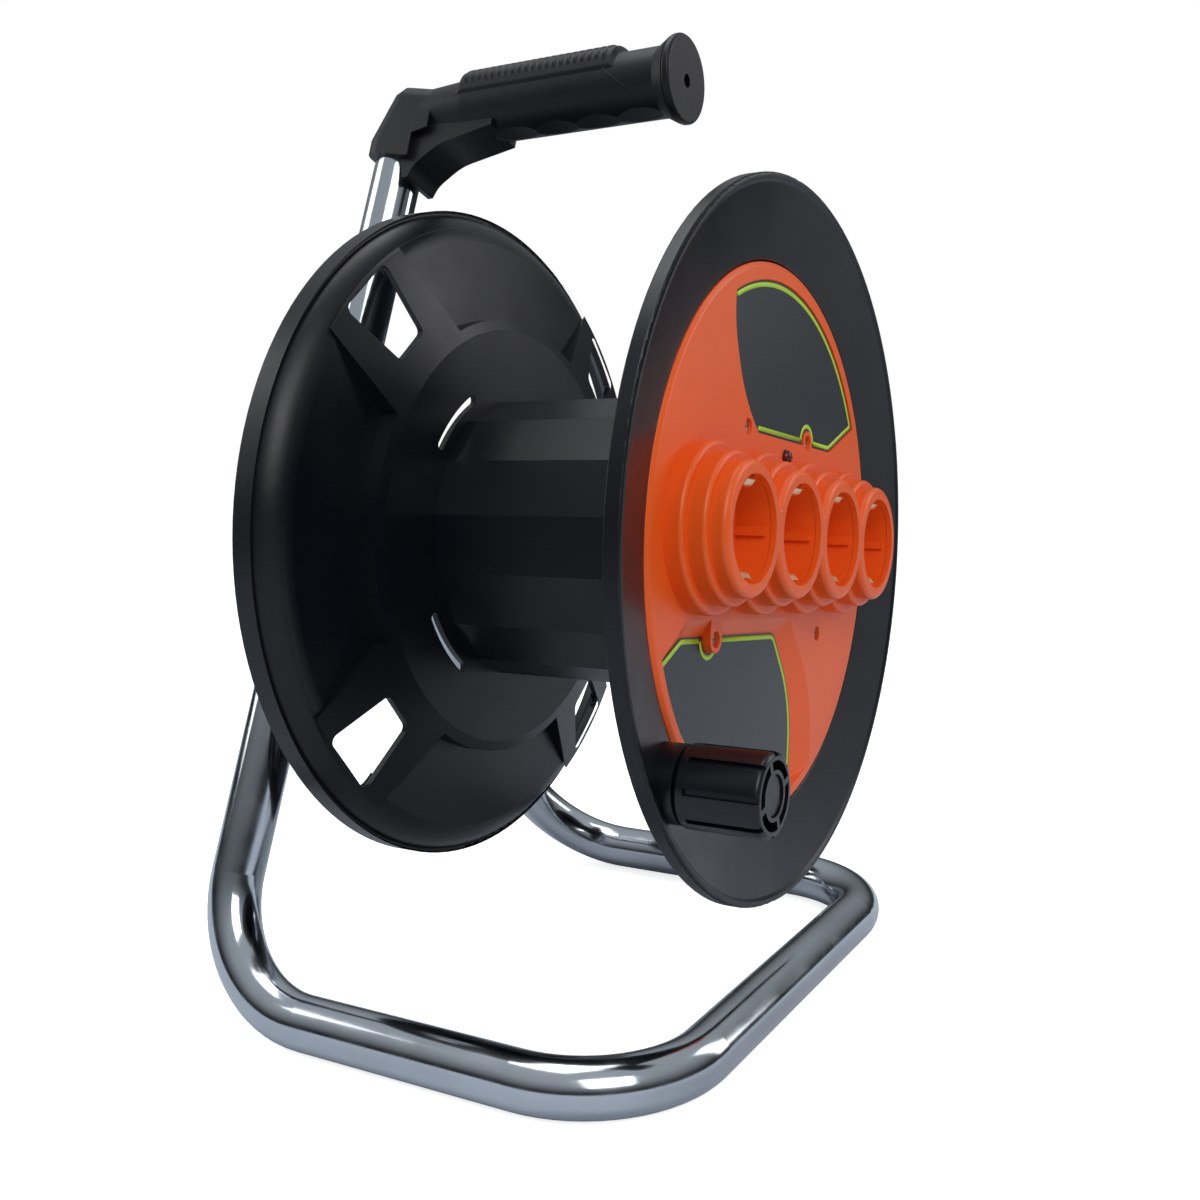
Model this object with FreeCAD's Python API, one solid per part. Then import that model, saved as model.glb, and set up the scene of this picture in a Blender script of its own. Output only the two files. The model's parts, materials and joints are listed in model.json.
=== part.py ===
"""Extension cord reel: a bent steel tube frame carries an empty drum on a fixed axle.

Lengths are in millimetres. +Z is up, the drum's axis runs along Y, its socket side faces -Y,
and +X is to the right of someone who faces the sockets. The origin lies on the floor under the
middle of the reel's box. Depths are counted backwards from the front rim of the drum.
"""
import FreeCAD
import Part

import math
import os

V = FreeCAD.Vector
Y_AXIS = V(0, 1, 0)

# Frame tube
tube_diameter = 24.0
tube_wall = 1.5
base_half_width = 144.0
front_bar_depth = 1.0
rear_corner_depth = 222.0
handle_depth = 207.0
handle_height = 420.0
base_bend_radius = 55.0
handle_bend_radius = 28.0
handle_tube_length = 152.0

# Drum
axis_height = 213.0
drum_turn = 6.0
flange_radius = 160.0
flange_wall = 3.0
front_dish = 18.0
front_seat_radius = 124.5
front_seat_rise = 9.0
front_rim_start = 11.0
rear_dish = 24.0
rear_cone = 13.5
rear_rim_start = 14.5
flange_rim_width = 9.0
plateau_radius = 102.0
barrel_radius = 68.0
barrel_sides = 16
barrel_first_corner = 16.0
barrel_edge_round = 1.0
barrel_wall = 3.0
barrel_length = 130.0

# Rear flange openings
arm_angle = 45.0
arm_width = 62.0
fan_inner_radius = 107.0
fan_floor_drop = 9.5
window_inner_radius = 116.0
window_edge_gap = 2.0
window_inner_width = 22.0
window_outer_width = 36.0
window_corner = 3.5
slot_radius = 75.0
slot_width = 4.5
slot_half_angle = 13.0

# Axle and bearings
axle_radius = 7.0
axle_clearance = 0.05
bush_wall = 3.0
bush_length = 22.0
bush_flange_radius = 14.0
bush_flange_thickness = 2.0
hub_wall = 9.0
rear_hub_end = 187.5
rear_hub_start = 128.0
front_hub_end = 62.0
hub_rib_count = 8
hub_rib_reach = 50.0
hub_rib_height = 12.0
hub_rib_width = 2.5
nut_well_depth = 16.0
nut_well_radius = 15.0
washer_thickness = 1.6
washer_radius = 13.0
nut_across_flats = 19.0
nut_height = 8.0
saddle_width = 46.0
saddle_thickness = 7.0
saddle_corner = 5.0
running_gap = 0.3
clamp_gap = 0.05

# Screws that tie the flanges to the barrel
tie_column_radius = 5.5
tie_head_radius = 4.0
tie_head_height = 2.0
tie_shank_radius = 2.0
tie_shank_length = 19.0

# Cord inlet in the barrel
inlet_radius = 8.0
inlet_side = 1
inlet_setback = 16.0
inlet_wall = 2.6
inlet_lip = 2.5

# Socket panel
panel_radius = 124.0
panel_face_depth = 8.0
panel_edge_bevel = 2.0
panel_wall = 2.5
socket_count = 4
socket_pitch = 51.4
socket_bore_radius = 21.75
socket_row_z = 4.0
socket_front = -15.0
socket_depth = 17.5
ring_radius = 27.5
ring_back = -8.0
collar_radius = 31.0
collar_back = 0.0
foot_radius = 35.0
ring_round = 2.5
collar_round = 1.8
insert_wall = 2.2
pin_spacing = 19.0
pin_hole_radius = 3.0
guide_height = 2.0
guide_width = 4.0
clip_width = 8.0
clip_gauge = 0.8
clip_bulge = 5.5
pin_sleeve_radius = 3.5
pin_sleeve_bore = 2.45
bar_thickness = 1.0
terminal_width = 24.0
terminal_height = 18.0
terminal_thickness = 9.0
terminal_pitch = 8.0
terminal_x = -32.0
terminal_z = 31.0
label_thickness = 0.4
label_radius = 116.0
label_margin = 0.4
upper_label_floor = 9.0
upper_label_flat = 48.0
upper_label_left = -53.0
upper_label_right = 65.0
lower_label_floor = 12.0
lower_label_flat = -40.0
lower_label_left = -85.0
lower_label_right = 38.0
lower_slope = 7.0
lower_side_slope = 18.0
upper_screw_x = 35.2
lower_screw_x = 59.0
screw_offset = 45.2
screw_head_radius = 3.3
screw_shank_radius = 1.6
button_x = 8.0
button_z = 40.0
button_radius = 3.3
button_height = 3.0
button_travel = 2.0

# Crank knob
knob_circle = 141.0
knob_angle = -138.0
knob_radius = 16.3
knob_back = -5.0
knob_front = -39.0
knob_boss_radius = 15.5
knob_groove_count = 8
knob_spoke_count = 4
knob_cavity_depth = -27.0
spindle_radius = 4.0
spindle_head_radius = 7.0
spindle_head_depth = 4.6
cap_radius = 7.95
cap_depth = -33.5

# Grip
grip_radius = 15.6
grip_rise = 0.9
grip_end_radius = 19.5
grip_end_thickness = 4.0
cap_plug_length = 14.0
cap_hole_radius = 3.0
grip_flare = 6.0
grip_clearance = 0.1
neck_radius = 13.9
neck_start = 16.0
neck_end = 42.0
elbow_half_width = 14.2
web_half_width = 11.0
elbow_corner = 9.0
pad_start = 40.0
pad_end = 124.0
pad_half_width = 13.8
pad_height = 2.8
pad_rib_count = 20
pad_rib_height = 1.1
pad_rim = 2.4
finger_count = 4
finger_start = 57.7
finger_end = 146.0
finger_depth = 0.9
grip_screw_shank = 1.5
grip_screw_head = 3.0
grip_screw_seat = 7.0
grip_screws_at = [(2.0, 8.8), (24.0, -17.0)]

# Elbow of the grip, as (a, b) corners: a runs along the grip from the tube's corner, b up along the post
elbow_back = [(-14.4, -20.5), (-14.4, -13.0), (-3.5, 12.0), (3.6, 16.0), (13.0, 14.0)]
elbow_front = [(24.0, 14.0), (24.0, -12.0), (15.0, -14.0), (15.0, -26.0)]
elbow_web = [(0.0, -22.0), (8.0, -25.0), (12.0, -36.0), (15.0, -36.0), (17.5, -30.0),
             (30.0, -20.5), (60.0, -14.0), (60.0, 0.0), (0.0, 0.0)]
web_bends = [0, 0, 0.8, 12, 25, 0, 0, 0]

tube_radius = tube_diameter / 2
cone_end_radius = flange_radius - flange_rim_width
window_outer_radius = cone_end_radius - window_edge_gap
barrel_side_angle = 360 / barrel_sides
barrel_flat = barrel_radius * math.cos(math.radians(barrel_side_angle / 2))
barrel_bore = barrel_flat - barrel_wall
inlet_angle = barrel_first_corner + barrel_side_angle * (inlet_side - 0.5)
plateau_depth = front_dish
rear_plateau_depth = plateau_depth + barrel_length
axle_lean = (axis_height - tube_radius) / (handle_height - tube_radius)
leg_depth = rear_corner_depth + (handle_depth - rear_corner_depth) * axle_lean
leg_share = 2 * axle_lean / (1 + axle_lean)
socket_x = [socket_pitch * (i - (socket_count - 1) / 2) for i in range(socket_count)]
bush_radius = axle_radius + axle_clearance + bush_wall
hub_radius = bush_radius + hub_wall
stud_radius = axle_radius - 1
inlet_depth = plateau_depth + inlet_setback
insert_radius = socket_bore_radius + insert_wall
insert_floor = socket_front + socket_depth
front_face = plateau_depth - flange_wall
rear_face = rear_plateau_depth + flange_wall
screw_seat = front_face - 3


def frame_corners():
    """Corners of the tube's centre line with Y as the depth, from the grip's end to the welded joint."""
    elbow = V(0, handle_depth, handle_height)
    rear_left = V(-base_half_width, rear_corner_depth, tube_radius)
    front_left = V(-base_half_width, front_bar_depth, tube_radius)
    front_right = V(base_half_width, front_bar_depth, tube_radius)
    rear_right = V(base_half_width, rear_corner_depth, tube_radius)
    grip_end = elbow - Y_AXIS * handle_tube_length
    meeting = rear_left + (elbow - rear_left) * leg_share
    return [grip_end, elbow, rear_left, front_left, front_right, rear_right, meeting]


def frame_back():
    """Depth of the rearmost point, which is on the bend under the right leg."""
    corners = frame_corners()
    turn = Y_AXIS.getAngle(corners[6] - corners[5])
    return rear_corner_depth + base_bend_radius * (1 - math.tan(turn / 2)) + tube_radius


rim_plane = (-knob_front - frame_back()) / 2
left_leg = frame_corners()[1] - frame_corners()[2]
grip_up = V(left_leg.x, 0, left_leg.z).normalize()
grip_ahead = V(0, -1, 0)
grip_across = grip_up.cross(grip_ahead)


def at(depth):
    """Y of a depth behind the front rim."""
    return rim_plane + depth


def rounded_edges(points, radii):
    """Straight runs joined by tangent arcs; radii has one value for each inner point."""
    edges = []
    start = points[0]
    for i in range(1, len(points) - 1):
        corner = points[i]
        back = (points[i - 1] - corner).normalize()
        ahead = (points[i + 1] - corner).normalize()
        radius = radii[i - 1]
        if radius <= 0:
            edges.append(Part.makeLine(start, corner))
            start = corner
            continue
        half = math.acos(max(-1.0, min(1.0, back.dot(ahead)))) / 2
        tangent = radius / math.tan(half)
        inward = (back + ahead).normalize()
        first = corner + back * tangent
        last = corner + ahead * tangent
        middle = corner + inward * (radius / math.sin(half) - radius)
        if (first - start).Length > 1e-6:
            edges.append(Part.makeLine(start, first))
        edges.append(Part.Arc(first, middle, last).toShape())
        start = last
    edges.append(Part.makeLine(start, points[-1]))
    return edges


def rounded_face(outline, radii):
    """Closed face from corner points, each with its own radius; the first corner stays sharp."""
    edges = rounded_edges(outline + [outline[0]], radii)
    return Part.Face(Part.Wire(Part.__sortEdges__(edges)))


def rod(radius, depth1, depth2, x=0.0, z=0.0):
    """Cylinder along Y between two depths."""
    return Part.makeCylinder(radius, depth2 - depth1, V(x, at(depth1), z), Y_AXIS)


def cone(radius1, radius2, depth1, depth2, x=0.0, z=0.0):
    return Part.makeCone(radius1, radius2, depth2 - depth1, V(x, at(depth1), z), Y_AXIS)


def block(x1, x2, depth1, depth2, z1, z2):
    return Part.makeBox(x2 - x1, depth2 - depth1, z2 - z1, V(x1, at(depth1), z1))


def ring(outer, inner, depth1, depth2, x=0.0, z=0.0):
    return rod(outer, depth1, depth2, x, z).cut(rod(inner, depth1 - 1, depth2 + 1, x, z))


def turned(profile, radii=None):
    """Solid of revolution about the drum's axis from (radius, depth) points."""
    points = [V(r, at(depth), 0) for r, depth in profile]
    face = rounded_face(points, radii or [0] * (len(points) - 1))
    return face.revolve(V(0, 0, 0), Y_AXIS, 360)


def prism(outline, depth1, depth2, radii=None):
    """Prism along Y from (x, z) corners."""
    points = [V(x, at(depth1), z) for x, z in outline]
    face = rounded_face(points, radii or [0] * (len(points) - 1))
    return face.extrude(V(0, depth2 - depth1, 0))


def hexagon(across_flats, depth1, depth2, x=0.0, z=0.0):
    corner = across_flats / math.sqrt(3)
    outline = []
    for i in range(6):
        angle = math.radians(60 * i)
        outline.append((x + corner * math.cos(angle), z + corner * math.sin(angle)))
    return prism(outline, depth1, depth2)


def edges_along_axis(shape):
    return [edge for edge in shape.Edges if abs(edge.tangentAt(edge.FirstParameter).y) > 0.9]


def spun(shape, angle):
    """Copy turned about the drum's axis; a positive angle goes anticlockwise seen from the front."""
    copy = shape.copy()
    copy.rotate(V(0, 0, 0), Y_AXIS, -angle)
    return copy


def fused(shapes):
    first = shapes[0]
    return first.fuse(shapes[1:]).removeSplitter() if len(shapes) > 1 else first


def on_drum(shape):
    """Places a drum piece, modelled about its own axis, at the turn and height it rests at."""
    placed = spun(shape, -drum_turn)
    placed.translate(V(0, 0, axis_height))
    return placed


# Frame

def frame_points():
    return [corner + Y_AXIS * rim_plane for corner in frame_corners()]


def straight(radius, start, end):
    return Part.makeCylinder(radius, (end - start).Length, start, end - start)


def tube_run(points, bend_radii, radius):
    """Solid run of straight and bent lengths along corner points."""
    lengths = []
    for edge in rounded_edges(points, bend_radii):
        start = edge.valueAt(edge.FirstParameter)
        end = edge.valueAt(edge.LastParameter)
        section = Part.Face(Part.Wire(Part.makeCircle(radius, start, edge.tangentAt(edge.FirstParameter))))
        if isinstance(edge.Curve, Part.Line):
            lengths.append(section.extrude(end - start))
        else:
            sweep = math.degrees(edge.LastParameter - edge.FirstParameter)
            lengths.append(section.revolve(edge.Curve.Center, edge.Curve.Axis, sweep))
    return fused(lengths)


def frame_tube():
    """Bent tube whose right leg is coped against the post and welded to it."""
    points = frame_points()
    bore = tube_radius - tube_wall
    main_points = points[:5] + [(points[4] + points[5]) / 2]
    bends = [handle_bend_radius] + [base_bend_radius] * 3
    main = tube_run(main_points, bends, tube_radius).cut(tube_run(main_points, bends, bore))
    leg_points = [main_points[5], points[5], points[6]]
    leg = tube_run(leg_points, [base_bend_radius], tube_radius)
    leg_bore = tube_run(leg_points, [base_bend_radius], bore)
    leg = leg.cut([leg_bore, straight(tube_radius, points[1], points[2])])
    return main.fuse(leg).removeSplitter()


def axle_saddle():
    """Steel seat welded on the right leg, hollowed to the tube, with a hole for the axle."""
    half = saddle_width / 2
    front = leg_depth - tube_radius - saddle_thickness
    corners = [(-half, -half), (half, -half), (half, half), (-half, half)]
    plate = prism(corners, front, leg_depth - tube_radius / 2)
    plate = plate.makeFillet(saddle_corner, edges_along_axis(plate))
    plate.translate(V(0, 0, axis_height))
    points = frame_points()
    leg = straight(tube_radius + running_gap / 2, points[5], points[6])
    hole = rod(stud_radius + axle_clearance, front - 1, front + saddle_thickness + 3, 0, axis_height)
    return plate.cut([leg, hole])


def axle_stack():
    """Depths along the axle, from the saddle's face to the stud's front end."""
    stack = {"saddle_face": leg_depth - tube_radius - saddle_thickness}
    stack["well_floor"] = front_face + nut_well_depth
    stack["bush_front"] = stack["well_floor"] - bush_flange_thickness
    stack["washer_back"] = stack["bush_front"] - running_gap
    stack["nut_back"] = stack["washer_back"] - washer_thickness
    stack["front_end"] = stack["nut_back"] - nut_height - 2
    stack["bush_end"] = rear_hub_end + bush_flange_thickness
    stack["rear_washer"] = stack["bush_end"] + running_gap
    stack["collar_front"] = stack["rear_washer"] + washer_thickness
    return stack


def axle():
    """Fixed axle: a shaft between the washers, a threaded stud, a collar and a spigot in the saddle."""
    stack = axle_stack()
    saddle_face = stack["saddle_face"]
    chamfer_end = stack["front_end"] + 1
    body = fused([
        rod(axle_radius, stack["washer_back"], stack["collar_front"]),
        cone(stud_radius - 1, stud_radius, stack["front_end"], chamfer_end),
        rod(stud_radius, chamfer_end, stack["washer_back"]),
        rod(washer_radius, stack["collar_front"], saddle_face),
        rod(stud_radius, saddle_face, saddle_face + saddle_thickness - running_gap)])
    body.translate(V(0, 0, axis_height))
    return body


def axle_washer(depth, bore):
    body = ring(washer_radius, bore, depth, depth + washer_thickness)
    body.translate(V(0, 0, axis_height))
    return body


def front_washer():
    return axle_washer(axle_stack()["nut_back"], stud_radius + axle_clearance)


def rear_washer():
    return axle_washer(axle_stack()["rear_washer"], axle_radius + axle_clearance)


def axle_nut():
    back = axle_stack()["nut_back"]
    front = back - nut_height
    edge_cone = cone(nut_across_flats / 2, nut_across_flats / 2 + nut_height, front, back)
    body = hexagon(nut_across_flats, front, back).common(edge_cone)
    body = body.cut(rod(stud_radius + axle_clearance, front - 1, back + 1))
    body.translate(V(0, 0, axis_height))
    return body


# Grip, modelled with a along the grip towards its end and b up along the post

def grip_point(a, b, w=0.0):
    return frame_points()[1] + grip_ahead * a + grip_up * b + grip_across * w


def grip_rod(radius, a1, a2, rise=grip_rise):
    return Part.makeCylinder(radius, a2 - a1, grip_point(a1, 0) + V(0, 0, rise), grip_ahead)


def grip_cone(radius1, radius2, a1, a2):
    return Part.makeCone(radius1, radius2, a2 - a1, grip_point(a1, 0) + V(0, 0, grip_rise), grip_ahead)


def grip_plate(outline, radii, half_width):
    """Plate from (a, b) corners, as thick to each side of the plane that halves the grip."""
    points = [grip_point(a, b, -half_width) for a, b in outline]
    return rounded_face(points, radii).extrude(grip_across * (2 * half_width))


def pad_shadow(shrink, height):
    """Long plate with round ends, seen from above the grip."""
    half = pad_half_width - shrink
    first = grip_point(pad_start + pad_half_width, height)
    last = grip_point(pad_end - pad_half_width, height)
    side = grip_across * half
    ends = [Part.makeCylinder(half, 2 * grip_radius, place, grip_up) for place in (first, last)]
    outline = Part.makePolygon([first - side, last - side, last + side, first + side, first - side])
    middle = Part.Face(outline).extrude(grip_up * (2 * grip_radius))
    return middle.fuse(ends).removeSplitter()


def grip_pad():
    """Raised pad on the upper side, crossed by ribs inside a plain rim."""
    outer = grip_radius + pad_height
    pad = grip_rod(outer, pad_start - 1, pad_end + 1).common(pad_shadow(0, 2))
    start = pad_start + pad_rim
    pitch = (pad_end - pad_rim - start) / pad_rib_count
    grooves = []
    for i in range(pad_rib_count):
        middle = start + pitch * (i + 0.5)
        grooves.append(grip_rod(outer + 2, middle - pitch / 5, middle + pitch / 5))
    floor = grip_rod(outer - pad_rib_height, pad_start - 2, pad_end + 2)
    cutter = Part.makeCompound(grooves).common(pad_shadow(pad_rim, 2)).cut(floor)
    return pad.cut(cutter)


def hood_bar(first, last):
    """Long bar, as wide as the elbow, whose outer side runs along two (a, b) points and has round edges."""
    start, end = grip_point(*first), grip_point(*last)
    along = (end - start).normalize()
    inner = start + grip_across.cross(along) * handle_tube_length
    side = grip_across * elbow_half_width
    corners = [inner - side, start - side, start + side, inner + side]
    reach = along * handle_tube_length
    face = rounded_face([corner - reach for corner in corners], [elbow_corner, elbow_corner, 0])
    return face.extrude(reach * 2)


def elbow():
    """Hood over the bend: four sides with rounded edges, open below round the leg."""
    outline = elbow_back + elbow_front
    hood = grip_plate(outline, [0] * (len(outline) - 1), elbow_half_width)
    for first, last in zip(elbow_back, elbow_back[1:]):
        hood = hood.common(hood_bar(first, last))
    return hood.fuse(grip_plate(elbow_web, web_bends, web_half_width))


def finger_spaces():
    """Shallow hollows for the fingers along the grip's underside."""
    pitch = (finger_end - finger_start) / finger_count
    radius = ((pitch / 2) ** 2 + finger_depth ** 2) / (2 * finger_depth)
    centre_b = grip_rise - grip_radius + finger_depth - radius
    spaces = []
    for i in range(finger_count):
        centre = grip_point(finger_start + pitch * (i + 0.5), centre_b, -2 * grip_radius)
        spaces.append(Part.makeCylinder(radius, 4 * grip_radius, centre, grip_across))
    return spaces


def grip_body():
    """Both halves in one, hollowed to the tube."""
    length = handle_tube_length
    neck = grip_cone(neck_radius, grip_radius, neck_start, neck_end)
    body = grip_rod(grip_radius, neck_end, length - grip_flare)
    flare = grip_cone(grip_radius, grip_end_radius - 0.5, length - grip_flare, length)
    shape = body.cut(finger_spaces()).fuse([neck, flare, elbow(), grip_pad()])
    return shape.cut(tube_run(frame_points()[:3], [handle_bend_radius], tube_radius + grip_clearance))


def grip_half(side):
    """One moulded half; side is -1 for the left half and 1 for the right half."""
    reach = handle_tube_length + 50
    half = grip_plate([(-50, -reach), (reach, -reach), (reach, reach), (-50, reach)], [0] * 3, 20)
    half.translate(grip_across * (20 * side))
    body = grip_body().common(half)
    holes = []
    for a, b in grip_screws_at:
        clearance = 0.1
        holes.append(Part.makeCylinder(grip_screw_shank + clearance, 60, grip_point(a, b, -8), grip_across))
        seat = grip_point(a, b, grip_screw_seat)
        holes.append(Part.makeCylinder(grip_screw_head + 2 * clearance, 30, seat, grip_across))
    return body.cut(holes)


def grip_screws():
    screws = []
    for a, b in grip_screws_at:
        tip = grip_point(a, b, -grip_screw_seat)
        shank = Part.makeCylinder(grip_screw_shank, 2 * grip_screw_seat, tip, grip_across)
        head = Part.makeCylinder(grip_screw_head, 2.2, grip_point(a, b, grip_screw_seat), grip_across)
        screws.append(shank.fuse(head))
    return Part.makeCompound(screws)


def grip_end_cap():
    """Disc with a plug that closes the tube, and a hole through its middle."""
    length = handle_tube_length
    disc = grip_rod(grip_end_radius, length, length + grip_end_thickness)
    disc = disc.makeFillet(1.5, disc.Edges)
    plug = grip_rod(tube_radius - tube_wall - clamp_gap, length - cap_plug_length, length + 2, 0)
    hole = grip_rod(cap_hole_radius, length - 20, length + 10, 0)
    return disc.fuse(plug).cut(hole).removeSplitter()


# Drum

def flange_skin(wall, cone_depth, rim_start, rim_end):
    """(radius, depth) of the skin's inner face moved outwards by wall and closed behind it."""
    edge = flange_radius - wall
    return [(0, wall), (plateau_radius, wall), (cone_end_radius, cone_depth + wall), (edge, rim_start + wall),
            (edge, rim_end), (0, rim_end)]


def fan_spaces(inward, floor):
    """The four recesses between the arms, grown by inward on every side."""
    start = fan_inner_radius - inward
    end = cone_end_radius + 0.5
    space = turned([(start, -5), (end, -5), (end, rear_cone + floor + 0.2), (start, fan_floor_drop + floor)])
    half = arm_width / 2 - inward
    arms = []
    for i in range(4):
        arm = block(0, flange_radius + 10, -10, 40, -half, half)
        arms.append(spun(arm, arm_angle + 90 * i))
    return space.cut(arms)


def rear_shell():
    """Dished disc with its plateau at depth 0 and its rim turned backwards."""
    skin = turned(flange_skin(0, rear_cone, rear_rim_start, rear_dish), [0, 8, 20, 1.5, 0])
    hollow = turned(flange_skin(flange_wall, rear_cone, rear_rim_start, rear_dish + 5), [0, 8, 20, 0, 0])
    skin = skin.cut(fan_spaces(0, 0))
    hollow = hollow.cut(fan_spaces(flange_wall, flange_wall))
    return skin.cut(hollow)


def front_shell():
    """Dished disc with its plateau at depth 0, a seat for the panel and a rim that stands both ways."""
    edge = flange_radius
    seat = front_seat_radius
    points = [(0, 0), (seat + 2, 0), (seat + 6.5, 6.5), (edge - flange_wall, front_rim_start + 3),
              (edge - flange_wall, front_rim_start), (edge, front_rim_start), (edge, front_dish),
              (edge - 2.5, front_dish), (edge - 4, front_dish - 1), (seat, front_seat_rise),
              (seat, flange_wall), (0, flange_wall)]
    return turned(points, [8, 3, 0.5, 0.8, 0.8, 1.2, 0.8, 0.5, 0.8, 0, 0])


def window_space():
    half_in = window_inner_width / 2
    half_out = window_outer_width / 2
    outline = [(window_inner_radius, -half_in), (window_outer_radius, -half_out),
               (window_outer_radius, half_out), (window_inner_radius, half_in)]
    space = prism(outline, -10, 50)
    return space.makeFillet(window_corner, edges_along_axis(space))


def slot_space():
    """Arc slot through the plateau with round ends."""
    space = ring(slot_radius + slot_width / 2, slot_radius - slot_width / 2, -10, 20)
    x = slot_radius * math.cos(math.radians(slot_half_angle))
    z = slot_radius * math.sin(math.radians(slot_half_angle))
    wedge = prism([(0, 0), (2 * x, -2 * z), (2 * x, 2 * z)], -10, 20)
    ends = [rod(slot_width / 2, -10, 20, x, sign * z) for sign in (-1, 1)]
    return space.common(wedge).fuse(ends)


def tie_places():
    place = barrel_bore - tie_column_radius + 1
    return [(place, 0), (0, place), (-place, 0), (0, -place)]


def tie_hole(face, direction, x, z):
    """Countersunk hole from a flange's face; direction 1 goes backwards, -1 forwards."""
    gap = running_gap
    end = face + direction * (tie_head_height + gap)
    wide, narrow = tie_head_radius + gap, tie_shank_radius + gap / 2
    sink = cone(wide, narrow, face, end, x, z) if direction > 0 else cone(narrow, wide, end, face, x, z)
    return sink.fuse(rod(narrow, face - 15, face + 15, x, z))


def rear_flange():
    shell = rear_shell()
    cuts = []
    for i in range(4):
        cuts.append(spun(window_space(), arm_angle + 90 * i))
        cuts.append(spun(slot_space(), arm_angle + 90 * i))
    for x, z in tie_places():
        cuts.append(tie_hole(flange_wall, -1, x, z))
    shell = shell.cut(cuts)
    shell.translate(V(0, rear_plateau_depth, 0))
    hub = rod(hub_radius, rear_hub_start, rear_hub_end)
    ribs = []
    for i in range(hub_rib_count):
        rib = block(hub_radius - 1, hub_rib_reach, rear_face, rear_face + hub_rib_height,
                    -hub_rib_width / 2, hub_rib_width / 2)
        ribs.append(spun(rib, 360 / hub_rib_count * (i + 0.5)))
    body = shell.fuse([hub] + ribs)
    body = body.cut(rod(bush_radius, rear_hub_start - 1, rear_hub_end + 1))
    return on_drum(body.removeSplitter())


def barrel():
    """Tube with flat sides outside and a round bore, with columns for the screws."""
    corners = []
    for i in range(barrel_sides):
        angle = math.radians(barrel_first_corner + barrel_side_angle * i)
        corners.append((barrel_radius * math.cos(angle), barrel_radius * math.sin(angle)))
    tube = prism(corners, plateau_depth, rear_plateau_depth)
    tube = tube.makeFillet(barrel_edge_round, edges_along_axis(tube))
    tube = tube.cut(rod(barrel_bore, plateau_depth - 1, rear_plateau_depth + 1))
    columns = []
    holes = []
    for x, z in tie_places():
        columns.append(rod(tie_column_radius, plateau_depth, rear_plateau_depth, x, z))
        bore = tie_shank_radius + clamp_gap
        holes.append(rod(bore, plateau_depth - 1, plateau_depth + tie_shank_length + 1, x, z))
        holes.append(rod(bore, rear_plateau_depth - tie_shank_length - 1, rear_plateau_depth + 1, x, z))
    inlet = spun(inlet_rod(inlet_radius, barrel_flat - 10, barrel_flat + 10), inlet_angle)
    return on_drum(tube.fuse(columns).cut(holes + [inlet]).removeSplitter())


def inlet_rod(radius, r1, r2):
    """Cylinder along the radius at the place where the cord goes into the barrel."""
    return Part.makeCylinder(radius, r2 - r1, V(r1, at(inlet_depth), 0), V(1, 0, 0))


def cable_inlet():
    """Grommet with a lip on each side of the barrel's wall."""
    lip = inlet_radius + inlet_lip
    neck = inlet_rod(inlet_radius - clamp_gap, barrel_bore - 2, barrel_flat + 2)
    outer_lip = inlet_rod(lip, barrel_flat + 0.2, barrel_flat + 2)
    inner_lip = inlet_rod(lip, barrel_bore - 3.5, barrel_bore - 1.7)
    body = neck.fuse([outer_lip, inner_lip])
    body = body.cut(inlet_rod(inlet_radius - inlet_wall, barrel_bore - 10, barrel_flat + 10))
    return on_drum(spun(body.removeSplitter(), inlet_angle))


def front_flange():
    shell = front_shell()
    shell.rotate(V(0, 0, 0), V(0, 0, 1), 180)
    shell.translate(V(0, 2 * rim_plane + plateau_depth, 0))
    boss_x, boss_z = knob_place()
    boss = rod(knob_boss_radius, knob_back + 1, 8, boss_x, boss_z)
    hub = rod(hub_radius, front_face, front_hub_end)
    body = shell.fuse([boss, hub])
    well_floor = axle_stack()["well_floor"]
    cuts = [
        rod(nut_well_radius, 0, well_floor), rod(bush_radius, 0, front_hub_end + 1),
        rod(spindle_radius, -20, 30, boss_x, boss_z),
        rod(spindle_head_radius + 0.3, spindle_head_depth, 30, boss_x, boss_z),
        block(button_x - 6.3, button_x + 6.3, 0, 40, button_z - 12.3, button_z + 12.3)]
    for x, z in tie_places():
        cuts.append(tie_hole(front_face, 1, x, z))
    for x, z in panel_screw_places():
        cuts.append(rod(screw_shank_radius + 0.05, 0, 40, x, z))
    inside = rod(flange_radius + 5, plateau_depth, plateau_depth + 60).cut(rod(hub_radius, 0, 100))
    return on_drum(body.cut(cuts + [inside]).removeSplitter())


def bush(flange_front, flange_back, end):
    """Flanged bearing bush; its neck runs from the flange to end."""
    neck_low, neck_high = min(flange_back, end), max(flange_front, end)
    neck = rod(bush_radius - clamp_gap, neck_low, neck_high)
    body = rod(bush_flange_radius, flange_front, flange_back).fuse(neck)
    body = body.cut(rod(axle_radius + axle_clearance, neck_low - 5, neck_high + 5))
    return on_drum(body.removeSplitter())


def front_bush():
    stack = axle_stack()
    return bush(stack["bush_front"], stack["well_floor"], stack["well_floor"] + bush_length)


def rear_bush():
    return bush(rear_hub_end, axle_stack()["bush_end"], rear_hub_end - bush_length)


def tie_screws(face, direction):
    """Four countersunk screws from a flange's face; direction 1 drives them backwards, -1 forwards."""
    screws = []
    for x, z in tie_places():
        tip = face + direction * tie_shank_length
        under_head = face + direction * tie_head_height
        shank = rod(tie_shank_radius, min(face, tip), max(face, tip), x, z)
        radii = (tie_head_radius, tie_shank_radius)[::direction]
        head = cone(*radii, min(face, under_head), max(face, under_head), x, z)
        screws.append(head.fuse(shank))
    return on_drum(Part.makeCompound(screws))


def front_tie_screws():
    return tie_screws(front_face, 1)


def rear_tie_screws():
    return tie_screws(rear_face, -1)


# Socket panel

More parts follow.
